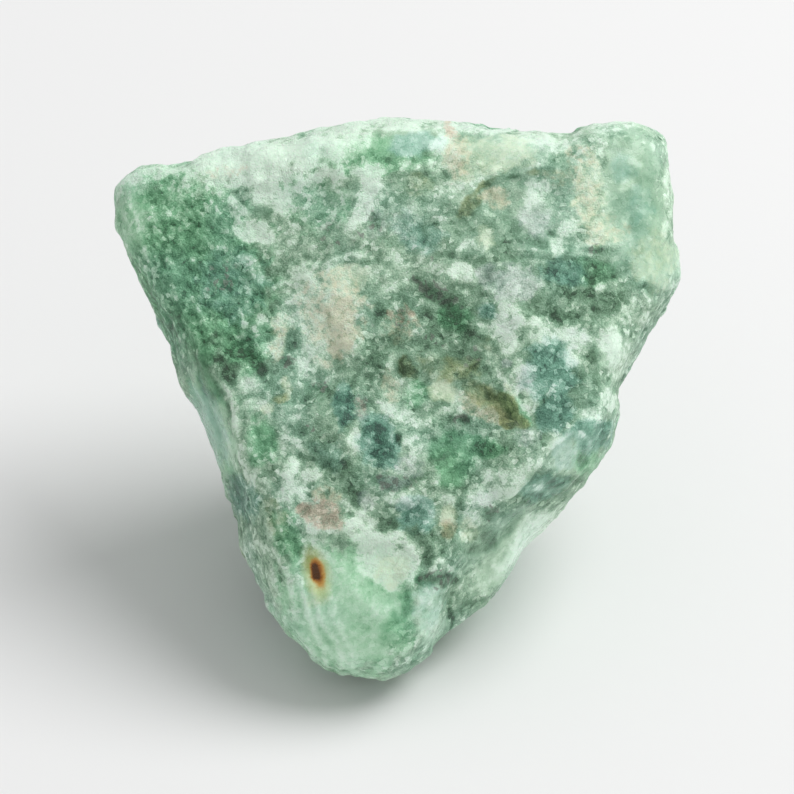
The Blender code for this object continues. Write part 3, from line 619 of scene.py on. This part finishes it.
    def ledges(self, markings: "Markings") -> np.ndarray:
        """Add up the face's ledges and grooves.

        Args:
            markings: the fields that sway the lines.

        Returns:
            The height that they give each vertex.
        """
        u, v = markings.swayed
        total = np.zeros(len(u))
        for ledge in LEDGES:
            gap, share = gap_to_line(u, v, ledge)
            fading = np.exp(-np.abs(gap) / ledge.run_out)
            total += ledge.height * share * np.tanh(gap / self.ledge_width) * fading
        for groove in GROOVES:
            gap, share = gap_to_line(u, v, groove)
            total += groove.height * share * np.exp(-((gap / groove.run_out) ** 2))
        return total

    def seams(self) -> np.ndarray:
        """Make the fine seams that run along the left flank.

        Returns:
            The height that they give each vertex.
        """
        u, v, _ = FACE.place(self.places)
        flank = smooth_step(*self.flank_side, u + self.flank_lean * v) * smooth_step(*self.flank_top, v)
        across = (u + self.seam_lean * v) / self.seam_gap
        across += self.seam_sway.depth * self.noise(self.seam_sway)
        return self.seam_depth * flank * np.sin(math.tau * across)

    def settle(self) -> None:
        """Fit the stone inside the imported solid's box, standing on its flat spot."""
        low, high = np.array(CAD_BOX) / MM
        self.places[:, 2] = np.maximum(self.places[:, 2], 0.0)
        made_low = self.places.min(axis=0)
        made = self.places.max(axis=0) - made_low
        share = np.minimum((high - low) / made, 1.0)
        room = (high - low) - share * made
        self.places = low + room / 2.0 + share * (self.places - made_low)
        self.places[:, 2] -= self.places[:, 2].min()

    def proud(self, passes: int, height: float) -> np.ndarray:
        """Measure how far each vertex stands out from its surroundings.

        Args:
            passes: how wide the surroundings are, as passes of rested.
            height: the height that counts as fully proud.

        Returns:
            One number for each vertex, from -1 in a dip to 1 on an edge.
        """
        rested = self.rested(self.places, passes)
        out = np.sum((self.places - rested) * self.normals, axis=1)
        return np.clip(out / height, -1.0, 1.0)

    def on_face(self, u: float, v: float) -> np.ndarray:
        """Find the frontmost place of the surface at a point of the broad face.

        Args:
            u: how far across the point is.
            v: how far up the lean the point is.

        Returns:
            The x, y and z of the place.
        """
        across, up, out = FACE.place(self.places)
        near = np.hypot(across - u, up - v) - self.front_pull * out
        return self.places[np.argmin(near)]

    def finish_mesh(self) -> None:
        """Turn millimetres into metres and shade the mesh smooth."""
        data = self.thing.data
        data.vertices.foreach_set("co", (self.places * MM).ravel())
        data.polygons.foreach_set("use_smooth", [True] * len(data.polygons))
        data.update()


@dataclass
class Markings:
    """The soft fields of colour and finish, one mesh attribute for each kind of marking."""

    body: StoneBody
    # The reach and depth of each noise that pushes patches about, or frays their sides
    sways: tuple[tuple[float, float], ...] = ((2.2, 0.35), (0.8, 0.12))
    sway_seeds: tuple[float, float] = (17.3, 41.9)
    rags: tuple[tuple[float, float], ...] = ((1.0, 0.26), (0.42, 0.30))
    rag_seed: float = 63.5
    soft: float = 0.36
    front_limits: tuple[float, float] = (-0.20, 0.08)
    dark_share: float = 0.82
    wild_tone: float = 0.62
    wild_soft: float = 0.3
    # How much finer each part of the mottling is, and the shift of its seed
    wild_parts: tuple[tuple[float, float], ...] = ((1.0, 0.0), (2.3, 5.0), (4.5, 9.0))
    middle_share: float = 0.6
    crisp_share: float = 0.4
    crispness: float = 5.0
    tone_reach: float = 4.2
    tone_seed: float = 71.0
    stain_reach: float = 6.3
    stain_seed: float = 90.0
    stain_seed_step: float = 7.0

    def layered(self, layers: tuple[tuple[float, float], ...], seed: float) -> np.ndarray:
        """Return noise of several reaches and depths at each vertex, in one sum."""
        return sum(depth * noise_over(self.body.places, reach, seed) for reach, depth in layers)

    @cached_property
    def swayed(self) -> tuple[np.ndarray, np.ndarray]:
        """Return u and v of each vertex, pushed about so that patches aren't quite oval."""
        u, v, _ = FACE.place(self.body.places)
        sway_u, sway_v = (self.layered(self.sways, seed) for seed in self.sway_seeds)
        return u + sway_u, v + sway_v

    @cached_property
    def ragged(self) -> np.ndarray:
        """Return how far in or out the side of a patch goes, as a share of its size."""
        return self.layered(self.rags, self.rag_seed)

    @cached_property
    def frontness(self) -> np.ndarray:
        """Return 1 where the stone's shape looks out of the broad face and 0 where it looks away."""
        return smooth_step(*self.front_limits, self.body.facing)

    def field_of(self, placed: tuple[Patch, ...]) -> np.ndarray:
        """Return how strongly patches mark each vertex.

        Args:
            placed: the oval markings of one kind.

        Returns:
            One number for each vertex, the strongest patch there.
        """
        u, v = (TENTHS * side for side in self.swayed)
        strongest = np.zeros(len(u))
        for patch in placed:
            turn = math.radians(patch.turn)
            across, up = u - patch.u, v - patch.v
            along = (across * math.cos(turn) + up * math.sin(turn)) / patch.half_long
            aside = (up * math.cos(turn) - across * math.sin(turn)) / patch.half_wide
            out = np.hypot(along, aside) + self.ragged
            inside = smooth_step(1.0 + self.soft, 1.0 - self.soft, out)
            strongest = np.maximum(strongest, patch.strength * inside)
        return strongest / PERCENT * self.frontness

    def wild(self, seed: float, reach: float) -> np.ndarray:
        """Make unplaced mottling for the hidden sides.

        Args:
            seed: moves the mottling, so that two calls differ.
            reach: the size of its broadest part.

        Returns:
            One number for each vertex, about -1 to 1.
        """
        broad, middle, crisp = (
            noise_over(self.body.places, reach / finer, seed + shift)
            for finer, shift in self.wild_parts
        )
        return broad + self.middle_share * middle + self.crisp_share * np.tanh(self.crispness * crisp)

    def dress(self) -> None:
        """Write every kind of marking to the mesh."""
        hidden = 1.0 - self.frontness
        tone = self.field_of(PALE_ROCK_AND_GLOW_PATCHES) - self.dark_share * self.field_of(DARK_ROCK_AND_SHADOW_PATCHES)
        tone += hidden * self.wild_tone * self.wild(self.tone_seed, self.tone_reach)
        self.write(Mark.TONE, tone)
        for number, (mark, placed) in enumerate(STAINS.items()):
            level = HIDDEN_LIMITS[mark]
            wild = self.wild(self.stain_seed + self.stain_seed_step * number, self.stain_reach)
            unplaced = hidden * smooth_step(level, level + self.wild_soft, wild)
            self.write(mark, np.maximum(self.field_of(placed), unplaced))
        # Painted glow: proud edges and the thin rim, lightened to stand in for light shining through thin
        # stone
        self.write(Mark.EDGE_GLOW, self.body.proud(self.body.edge_passes, self.body.edge_height))
        self.write(Mark.RIM_GLOW, self.body.proud(self.body.rim_passes, self.body.rim_height))

    def write(self, mark: Mark, values: np.ndarray) -> None:
        """Write one marking as a mesh attribute."""
        layer = self.body.thing.data.attributes.new(mark.value, "FLOAT", "POINT")
        layer.data.foreach_set("value", values.astype(np.float32))


# The usual curve from the steps of a screen to linear light
FULL_STEP = 255.0
CURVE_FOOT = 0.04045
CURVE_SLOPE = 12.92
CURVE_LIFT = 0.055
CURVE_POWER = 2.4


@dataclass(frozen=True)
class Tint:
    """A colour as it looks in daylight, in steps of 0 to 255."""

    red: int
    green: int
    blue: int

    def linear(self) -> tuple[float, float, float, float]:
        """Return the colour as the renderer's linear red, green, blue and alpha."""
        parts = np.array((self.red, self.green, self.blue)) / FULL_STEP
        curved = ((parts + CURVE_LIFT) / (1.0 + CURVE_LIFT)) ** CURVE_POWER
        return (*np.where(parts <= CURVE_FOOT, parts / CURVE_SLOPE, curved).tolist(), 1.0)


Ramp = dict[float, Tint]


class Bench:
    """Adds nodes to one tree and joins them."""

    def __init__(self, tree: bpy.types.NodeTree) -> None:
        """Keep the tree that the nodes go to."""
        self.tree = tree

    def node(self, kind: str, **inputs: object) -> bpy.types.Node:
        """Add a node.

        Args:
            kind: the node's type.
            inputs: what each setting or input holds: a value, or a socket to join it to. An
                input's name is written with underscores, and in0 is an input by its number.

        Returns:
            The new node.
        """
        node = self.tree.nodes.new(kind)
        self.feed(node, **inputs)
        return node

    def feed(self, node: bpy.types.Node, **inputs: object) -> None:
        """Set a node's settings and inputs, or join sockets to those inputs.

        Args:
            node: the node.
            inputs: what each setting or input holds, named as for node.
        """
        for name, value in inputs.items():
            if hasattr(node, name):
                setattr(node, name, value)
                continue
            numbered = name.startswith("in") and name[2:].isdigit()
            key = int(name[2:]) if numbered else name.replace("_", " ")
            if isinstance(value, Socket):
                self.tree.links.new(value, node.inputs[key])
            else:
                node.inputs[key].default_value = value

    def math(self, operation: str, *values: object, clamp: bool = False) -> Socket:
        """Return the result of a sum on numbers or sockets."""
        inputs = {"use_clamp": clamp, **self.numbered(values)}
        return self.node("ShaderNodeMath", operation=operation, **inputs).outputs[0]

    @staticmethod
    def numbered(values: tuple[object, ...]) -> dict[str, object]:
        """Return values named in0, in1 and so on."""
        return {f"in{index}": value for index, value in enumerate(values)}

    def plus(self, total: object, value: object, share: object) -> Socket:
        """Return a total with a share of a value added."""
        return self.math("MULTIPLY_ADD", value, share, total)

    def swing(self, value: object) -> Socket:
        """Return how far a grain's lightness is from its middle."""
        return self.math("SUBTRACT", value, 0.5)

    def vector(self, operation: str, *values: object, **named: object) -> Socket:
        """Return the result of a sum on places: a place, or a number for DOT_PRODUCT and LENGTH."""
        node = self.node("ShaderNodeVectorMath", operation=operation, **self.numbered(values), **named)
        return node.outputs["Value" if operation in ("DOT_PRODUCT", "LENGTH") else "Vector"]

    def along(self, place: Socket, axes: tuple[np.ndarray, ...]) -> Socket:
        """Return a place measured along three axes."""
        parts = {name: self.vector("DOT_PRODUCT", place, tuple(axis)) for name, axis in zip("XYZ", axes)}
        return self.node("ShaderNodeCombineXYZ", **parts).outputs[0]

    def rise(self, value: object, low: object, high: object, **ends: object) -> Socket:
        """Return a smooth rise from 0 at low to 1 at high, or from To_Min to To_Max."""
        named = {"Value": value, "From_Min": low, "From_Max": high, **ends}
        return self.node("ShaderNodeMapRange", interpolation_type="SMOOTHSTEP", **named).outputs[0]

    def mix(self, mask: object, below: object, above: object) -> Socket:
        """Return one colour laid over another where the mask is, by the node's colour sockets."""
        node = self.node("ShaderNodeMix", data_type="RGBA", in0=mask, in6=below, in7=above)
        return node.outputs[2]

    def attribute(self, mark: Mark) -> Socket:
        """Return the socket of one kind of marking."""
        return self.node("ShaderNodeAttribute", attribute_name=mark.value).outputs["Fac"]

    def noise(self, place: Socket, size: float, detail: float, rough: float) -> Socket:
        """Return smooth noise of one size."""
        named = {"Vector": place, "Scale": 1.0 / size, "Detail": detail, "Roughness": rough}
        return self.node("ShaderNodeTexNoise", **named).outputs["Fac"]

    def ramp(self, value: object, stops: Ramp) -> Socket:
        """Colour a value by a ramp of tints.

        Args:
            value: the socket that the ramp reads.
            stops: the tints by their places, in rising order.

        Returns:
            The colour's socket.
        """
        node = self.node("ShaderNodeValToRGB", in0=value)
        elements = node.color_ramp.elements
        while len(elements) < len(stops):
            elements.new(0.5)
        for element, (place, tint) in zip(elements, stops.items()):
            element.position = place
            element.color = tint.linear()
        return node.outputs["Color"]


def shader_group(name: str, inputs: dict[str, float], outputs: tuple[str, ...]) -> Bench:
    """Start a node group.

    Args:
        name: the group's name.
        inputs: each input's name and first value. An input named Place is a vector.
        outputs: each output's name.

    Returns:
        A bench on the group's tree.
    """
    tree = bpy.data.node_groups.new(name, "ShaderNodeTree")
    for label, value in inputs.items():
        kind = "NodeSocketVector" if label == "Place" else "NodeSocketFloat"
        socket = tree.interface.new_socket(label, in_out="INPUT", socket_type=kind)
        if label != "Place":
            socket.default_value = value
    for label in outputs:
        tree.interface.new_socket(label, in_out="OUTPUT", socket_type="NodeSocketFloat")
    return Bench(tree)


@dataclass(frozen=True)
class SugarGrain:
    """Group: the broken quartz grains at one size, each with its own lightness and tilt."""

    name: str = "sugar_grain"
    sway: float = 0.9
    middle: tuple[float, float, float] = (0.5, 0.5, 0.5)

    def build(self) -> bpy.types.NodeTree:
        """Build the group.

        Returns:
            The group, with inputs Place and Size and outputs Lightness and Facet.
        """
        bench = shader_group(self.name, {"Place": 0.0, "Size": 0.5}, ("Lightness", "Facet"))
        ends = bench.node("NodeGroupInput").outputs
        scale = bench.math("DIVIDE", 1.0, ends["Size"])
        swell = bench.node("ShaderNodeTexNoise", Vector=ends["Place"], Scale=scale, Detail=1.0)
        push = bench.vector("SUBTRACT", swell.outputs["Color"], self.middle)
        pushed = bench.vector("SCALE", push, Scale=bench.math("MULTIPLY", ends["Size"], self.sway))
        place = bench.vector("ADD", ends["Place"], pushed)
        cells = bench.node("ShaderNodeTexVoronoi", Vector=place, Scale=scale)
        light = bench.node("ShaderNodeSeparateColor", Color=cells.outputs["Color"])
        tilt = bench.vector("SUBTRACT", cells.outputs["Color"], self.middle)
        offset = bench.vector("SUBTRACT", place, cells.outputs["Position"])
        height = bench.math("MULTIPLY", bench.vector("DOT_PRODUCT", offset, tilt), scale)
        bench.node("NodeGroupOutput", Lightness=light.outputs[0], Facet=height)
        return bench.tree


@dataclass(frozen=True)
class GranularPatch:
    """Group: turns a soft field into a patch that breaks up grain by grain."""

    name: str = "granular_patch"
    fade: tuple[float, float] = (0.02, 0.25)

    def build(self) -> bpy.types.NodeTree:
        """Build the group.

        Returns:
            The group, with the inputs named in first and the output Mask.
        """
        first = {"Field": 0.0, "Grain": 0.5, "Fray": 0.8, "Limit": 0.5, "Softness": 0.2}
        bench = shader_group(self.name, first, ("Mask",))
        ends = bench.node("NodeGroupInput").outputs
        frayed = bench.plus(ends["Field"], bench.swing(ends["Grain"]), ends["Fray"])
        low, high = (bench.math(sign, ends["Limit"], ends["Softness"]) for sign in ("SUBTRACT", "ADD"))
        there = bench.rise(ends["Field"], *self.fade)
        bench.node("NodeGroupOutput", Mask=bench.math("MULTIPLY", bench.rise(frayed, low, high), there))
        return bench.tree


@dataclass(frozen=True)
class Stain:
    """A colour that lies over the calm green in some patches, grain by grain."""

    mark: Mark
    grain: str
    fray: float
    limit: float
    softness: float
    cover: float
    colours: Ramp


@dataclass(frozen=True)
class RustRing:
    """One ring of the rust spot: where it fades out, how much it covers, its shift and its tint."""

    far: float
    near: float
    cover: float
    shift: tuple[float, float, float]
    tint: Tint


GREEN_PLACES = (0.0, 0.16, 0.36, 0.56, 0.76, 1.0)
STAIN_PLACES = (0.12, 0.85)
Steps = tuple[int, int, int]


def ramp_of(places: tuple[float, ...], *tints: Steps) -> Ramp:
    """Return a ramp of tints from dark rock to light, at its places between 0 and 1."""
    return {place: Tint(*tint) for place, tint in zip(places, tints)}


def two_tints(dark: Steps, light: Steps) -> Ramp:
    """Return a stain's ramp, from its tint on dark rock to its tint on light rock."""
    return ramp_of(STAIN_PLACES, dark, light)


CALM_GREEN = ramp_of(
    GREEN_PLACES,
    (44, 76, 52),
    (74, 113, 83),
    (108, 148, 117),
    (142, 180, 150),
    (182, 214, 185),
    (228, 252, 231),
)
FRESH_GREEN = ramp_of(
    GREEN_PLACES,
    (32, 80, 46),
    (57, 115, 75),
    (92, 151, 109),
    (128, 187, 143),
    (172, 220, 182),
    (222, 253, 228),
)
BLUE_GREEN = ramp_of(
    GREEN_PLACES,
    (36, 78, 65),
    (65, 116, 97),
    (98, 152, 131),
    (134, 184, 163),
    (178, 217, 201),
    (225, 252, 239),
)
ROCK_STAINS = (
    Stain(Mark.FRESH, "mottle", 1.2, 0.42, 0.42, 1.0, FRESH_GREEN),
    Stain(Mark.TEAL, "mottle", 1.0, 0.45, 0.40, 0.85, BLUE_GREEN),
    Stain(Mark.LILAC, "crumble", 1.8, 0.50, 0.45, 0.42, two_tints((111, 138, 132), (217, 225, 226))),
    Stain(Mark.CREAM, "crumble", 1.6, 0.50, 0.50, 0.60, two_tints((129, 161, 104), (213, 228, 192))),
    Stain(Mark.TAN, "crumble", 2.8, 0.62, 0.60, 0.62, two_tints((108, 119, 79), (223, 215, 182))),
    Stain(Mark.OLIVE, "mottle", 1.3, 0.50, 0.35, 0.75, two_tints((58, 79, 33), (152, 165, 100))),
    Stain(Mark.PINK, "crumble", 2.8, 0.60, 0.50, 0.70, two_tints((100, 81, 61), (225, 204, 182))),
    Stain(Mark.MICA, "fine", 1.3, 0.90, 0.20, 0.75, two_tints((42, 52, 44), (115, 125, 113))),
)
# Where the rust spot is on the face, across it and up the lean
RUST_POINT = (-5.05, -10.9)
RUST_RINGS = (
    RustRing(2.4, 1.0, 0.62, (0.1, -0.1, 0.0), Tint(212, 218, 146)),
    RustRing(1.3, 0.6, 0.70, (-0.2, 0.5, 0.0), Tint(140, 150, 60)),
    RustRing(1.25, 0.75, 0.90, (0.25, -0.1, 0.0), Tint(206, 150, 60)),
    RustRing(0.98, 0.55, 0.95, (0.1, 0.0, 0.0), Tint(150, 88, 16)),
    RustRing(0.70, 0.40, 1.0, (0.0, 0.0, 0.0), Tint(84, 48, 8)),
)


@dataclass
class AventurineFinish:
    """The rock: mottled green and white quartz with mica flecks, stains and a waxy skin."""

    rust_spot: tuple[float, float, float]
    name: str = "green_aventurine_rock"
    # Each noise's name, size in millimetres and detail
    noises: tuple[tuple[str, float, float], ...] = (
        ("mottle", 1.15, 5.0),
        ("crumble", 0.45, 4.0),
        ("dust", 0.10, 2.0),
        ("drift", 4.5, 1.0),
    )
    noise_rough: float = 0.68
    grain_sizes: Shares = (("coarse", 0.66), ("fine", 0.30))
    streak_turn: float = math.radians(-52.0)
    streak_length: float = 4.0
    streak_size: float = 0.30
    streak_detail: float = 2.0
    streak_rough: float = 0.5
    streak_share: float = 0.9
    tone_shares: Shares = (
        ("mottle", 0.60),
        ("crumble", 0.26),
        ("coarse", 0.05),
        ("fine", 0.21),
        ("dust", 0.75),
    )
    # A grain, where on it flecks start and are full, and how much they lighten the rock
    flecks: tuple[tuple[str, float, float, float], ...] = (
        ("fine", 0.82, 0.90, 0.17),
        ("fine", 0.14, 0.08, -0.10),
        ("coarse", 0.84, 0.94, 0.05),
        ("coarse", 0.12, 0.04, -0.06),
    )
    # A marking, the least of it that counts, and how much it lightens the rock: a painted glow on proud edges
    # and the thin rim, standing in for light shining through thin quartz
    painted_glow_lifts: tuple[tuple[Mark, float, float], ...] = ((Mark.EDGE_GLOW, -0.5, 0.12), (Mark.RIM_GLOW, -0.2, 0.18))
    placed_share: float = 0.45
    uneven: tuple[float, float] = (-0.18, 2.4)
    skin_calm: float = 0.76
    skin_lift: float = 0.09
    middle_tone: float = 0.54
    drift_limits: tuple[float, float] = (0.40, 0.70)
    drift_cover: float = 0.3
    rust_lean: float = math.radians(14.0)
    rust_halves: tuple[float, float, float] = (0.46, 0.88, 1.6)
    rust_rags: Shares = (("mottle", 0.8), ("fine", 0.16))
    relief_shares: Shares = (
        ("coarse", 0.15),
        ("coarse_facet", 1.4),
        ("fine", 0.20),
        ("fine_facet", 1.2),
        ("dust", 0.80),
    )
    relief_calm: float = 0.85
    bump_depth: float = 0.00014
    bump_strength: float = 0.9
    rough_break: float = 0.52
    rough_skin: float = 0.33
    rough_swing: float = 0.30
    glow: float = 0.12
    glow_radius: tuple[float, float, float] = (0.6, 1.0, 0.7)
    glow_depth: float = 0.0008
    bench: Bench = field(init=False)
    smooth: Socket = field(init=False)
    grains: dict[str, Socket] = field(init=False)

    def build(self) -> bpy.types.Material:
        """Build the material.

        Returns:
            The rock's material.
        """
        material = bpy.data.materials.new(self.name)
        material.use_nodes = True
        self.bench = Bench(material.node_tree)
        self.smooth = self.bench.attribute(Mark.SMOOTH)
        self.make_grains()
        skin = self.bench.rise(self.smooth, 0.0, 1.0, To_Min=self.rough_break, To_Max=self.rough_skin)
        self.bench.feed(
            material.node_tree.nodes["Principled BSDF"],
            Base_Color=self.rusted(self.stained(self.tone())),
            Roughness=self.bench.plus(skin, self.bench.swing(self.grains["fine"]), self.rough_swing),
            Normal=self.relief(),
            Subsurface_Weight=self.glow,
            Subsurface_Radius=self.glow_radius,
            Subsurface_Scale=self.glow_depth,
        )
        return material

    def make_grains(self) -> None:
        """Make the sockets of the grain fields, by name."""
        bench = self.bench
        where = bench.node("ShaderNodeTexCoord").outputs["Object"]
        place = bench.vector("SCALE", where, Scale=1.0 / MM)
        self.grains = {"place": place}
        for label, size, detail in self.noises:
            self.grains[label] = bench.noise(place, size, detail, self.noise_rough)
        run, side = FACE.turned(self.streak_turn)
        drawn = bench.along(place, (run / self.streak_length, side, FACE.out()))
        streaks = bench.noise(drawn, self.streak_size, self.streak_detail, self.streak_rough)
        self.grains["streaks"] = streaks
        tree = SugarGrain().build()
        for label, size in self.grain_sizes:
            group = bench.node("ShaderNodeGroup", node_tree=tree, Place=place, Size=size)
            self.grains[label] = group.outputs["Lightness"]
            self.grains[label + "_facet"] = group.outputs["Facet"]

    def swings(self, shares: Shares) -> Socket:
        """Add up how far several grains are from their middles.

        Args:
            shares: the grains' names, each with its share.

        Returns:
            The sum's socket.
        """
        total = 0.0
        for label, share in shares:
            total = self.bench.plus(total, self.bench.swing(self.grains[label]), share)
        return total

    def tone(self) -> Socket:
        """Join grains, flecks, placed patches and the painted glow of edges and rim into the rock's
        lightness.

        Returns:
            The socket of the lightness, 0 for the darkest green and 1 for white quartz.
        """
        bench, grains = self.bench, self.grains
        lively = self.swings(self.tone_shares)
        streak = bench.math("MULTIPLY", bench.swing(grains["streaks"]), bench.attribute(Mark.STREAK))
        lively = bench.plus(lively, streak, self.streak_share)
        for label, low, high, lift in self.flecks:
            lively = bench.plus(lively, bench.rise(grains[label], low, high), lift)
        least, share = self.uneven
        uneven = bench.plus(least, grains["crumble"], share)
        total = bench.math("MULTIPLY", bench.attribute(Mark.TONE), uneven)
        total = bench.math("MULTIPLY", total, self.placed_share)
        total = bench.plus(total, lively, bench.plus(1.0, self.smooth, -self.skin_calm))
        # Painted glow on proud edges and the thin rim, standing in for light through thin quartz
        for mark, least, share in self.painted_glow_lifts:
            total = bench.plus(total, bench.math("MAXIMUM", bench.attribute(mark), least), share)
        total = bench.plus(total, self.smooth, self.skin_lift)
        return bench.math("ADD", total, self.middle_tone, clamp=True)

    def stained(self, tone: Socket) -> Socket:
        """Lay every stain over the calm green.

        Args:
            tone: the socket of the rock's lightness.

        Returns:
            The colour's socket.
        """
        bench = self.bench
        tree = GranularPatch().build()
        drift = bench.math("MULTIPLY", bench.rise(self.grains["drift"], *self.drift_limits), self.drift_cover)
        colour = bench.ramp(tone, CALM_GREEN)
        for stain in ROCK_STAINS:
            group = bench.node(
                "ShaderNodeGroup",
                node_tree=tree,
                Field=bench.attribute(stain.mark),
                Grain=self.grains[stain.grain],
                Fray=stain.fray,
                Limit=stain.limit,
                Softness=stain.softness,
            )
            mask = bench.math("MULTIPLY", group.outputs["Mask"], stain.cover)
            if stain.mark is Mark.TEAL:
                mask = bench.math("MAXIMUM", mask, drift)
            colour = bench.mix(mask, colour, bench.ramp(tone, stain.colours))
        return colour

    def rusted(self, colour: Socket) -> Socket:
        """Lay the rust spot over a colour: a dark pit in an orange and pale ring.

        Args:
            colour: the socket of the rock's colour.

        Returns:
            The new colour's socket.
        """
        bench = self.bench
        axes = (*FACE.turned(self.rust_lean), FACE.out())
        offset = bench.vector("SUBTRACT", self.grains["place"], self.rust_spot)
        place = bench.along(offset, tuple(axis / half for axis, half in zip(axes, self.rust_halves)))
        ragged = self.swings(self.rust_rags)
        for ring in RUST_RINGS:
            reach = bench.vector("LENGTH", bench.vector("SUBTRACT", place, ring.shift))
            reach = bench.math("ADD", reach, ragged)
            mask = bench.rise(reach, ring.near, ring.far, To_Min=ring.cover, To_Max=0.0)
            colour = bench.mix(mask, colour, ring.tint.linear())
        return colour

    def relief(self) -> Socket:
        """Roughen the surface by its grains, less so on the waxy skin.

        Returns:
            The normal's socket.
        """
        bench = self.bench
        height = 0.0
        for label, share in self.relief_shares:
            height = bench.plus(height, self.grains[label], share)
        height = bench.math("MULTIPLY", height, bench.plus(1.0, self.smooth, -self.relief_calm))
        sizes = {"Strength": self.bump_strength, "Distance": self.bump_depth}
        return bench.node("ShaderNodeBump", Height=height, **sizes).outputs["Normal"]


@dataclass(frozen=True)
class Studio:
    """The plain pale floor, the soft light and the camera."""

    floor_size: float = 6.0
    floor_drop: float = 0.00002
    floor_tint: Tint = Tint(233, 233, 233)
    floor_rough: float = 0.9
    frame_width: float = 0.0488
    distance: float = 0.40
    nearest: float = 0.01
    sky: float = 0.52
    lamp_power: float = 2.8
    lamp_size: float = 0.45
    lamp_place: tuple[float, float, float] = (0.32, 0.10, 0.50)

    def build(self) -> None:
        """Make the floor, the lights and the camera."""
        self.floor()
        self.lights()
        self.camera()

    def floor(self) -> None:
        """Make the floor, which isn't part of the stone."""
        half = self.floor_size / 2.0
        data = bpy.data.meshes.new("floor")
        corners = [(-half, -half, 0.0), (half, -half, 0.0), (half, half, 0.0), (-half, half, 0.0)]
        data.from_pydata(corners, [], [(0, 1, 2, 3)])
        floor = bpy.data.objects.new("floor", data)
        floor.location.z = -self.floor_drop
        bpy.context.scene.collection.objects.link(floor)
        paint = bpy.data.materials.new("pale_floor")
        paint.use_nodes = True
        shader = paint.node_tree.nodes["Principled BSDF"]
        shader.inputs["Base Color"].default_value = self.floor_tint.linear()
        shader.inputs["Roughness"].default_value = self.floor_rough
        data.materials.append(paint)

    def lights(self) -> None:
        """Light the stone with a pale sky and one large soft lamp overhead."""
        world = bpy.data.worlds.new("pale_sky")
        world.use_nodes = True
        sky = world.node_tree.nodes["Background"]
        sky.inputs["Color"].default_value = (1.0, 1.0, 1.0, 1.0)
        sky.inputs["Strength"].default_value = self.sky
        bpy.context.scene.world = world
        lamp_data = bpy.data.lights.new("soft_lamp", "AREA")
        lamp_data.shape = "DISK"
        lamp_data.size = self.lamp_size
        lamp_data.energy = self.lamp_power
        lamp = bpy.data.objects.new("soft_lamp", lamp_data)
        lamp.location = self.lamp_place
        lamp.rotation_euler = (-Vector(self.lamp_place)).to_track_quat("-Z", "Y").to_euler()
        bpy.context.scene.collection.objects.link(lamp)

    def camera(self) -> None:
        """Look square at the broad face, as the photograph does."""
        data = bpy.data.cameras.new("camera")
        data.lens = data.sensor_width * self.distance / self.frame_width
        data.clip_start = self.nearest
        camera = bpy.data.objects.new("camera", data)
        back = Vector(FACE.out())
        camera.location = Vector(FACE.middle) * MM + back * self.distance
        camera.rotation_euler = (-back).to_track_quat("-Z", "Y").to_euler()
        bpy.context.scene.collection.objects.link(camera)
        bpy.context.scene.camera = camera
        bpy.context.scene.view_settings.view_transform = "Standard"


def main() -> None:
    """Build the studio and the stone, and report each piece."""
    logging.basicConfig(level=logging.INFO, format="%(message)s")
    Studio().build()
    LOG.info("studio: floor, lights and camera")
    body = StoneBody()
    body.build()
    Markings(body).dress()
    rust_spot = tuple(body.on_face(*RUST_POINT))
    body.finish_mesh()
    body.thing.data.materials.append(AventurineFinish(rust_spot).build())
    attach(body.thing, "root")
    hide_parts(body.node)
    LOG.info("stone: %d faces", len(body.thing.data.polygons))


if __name__ == "__main__":
    main()
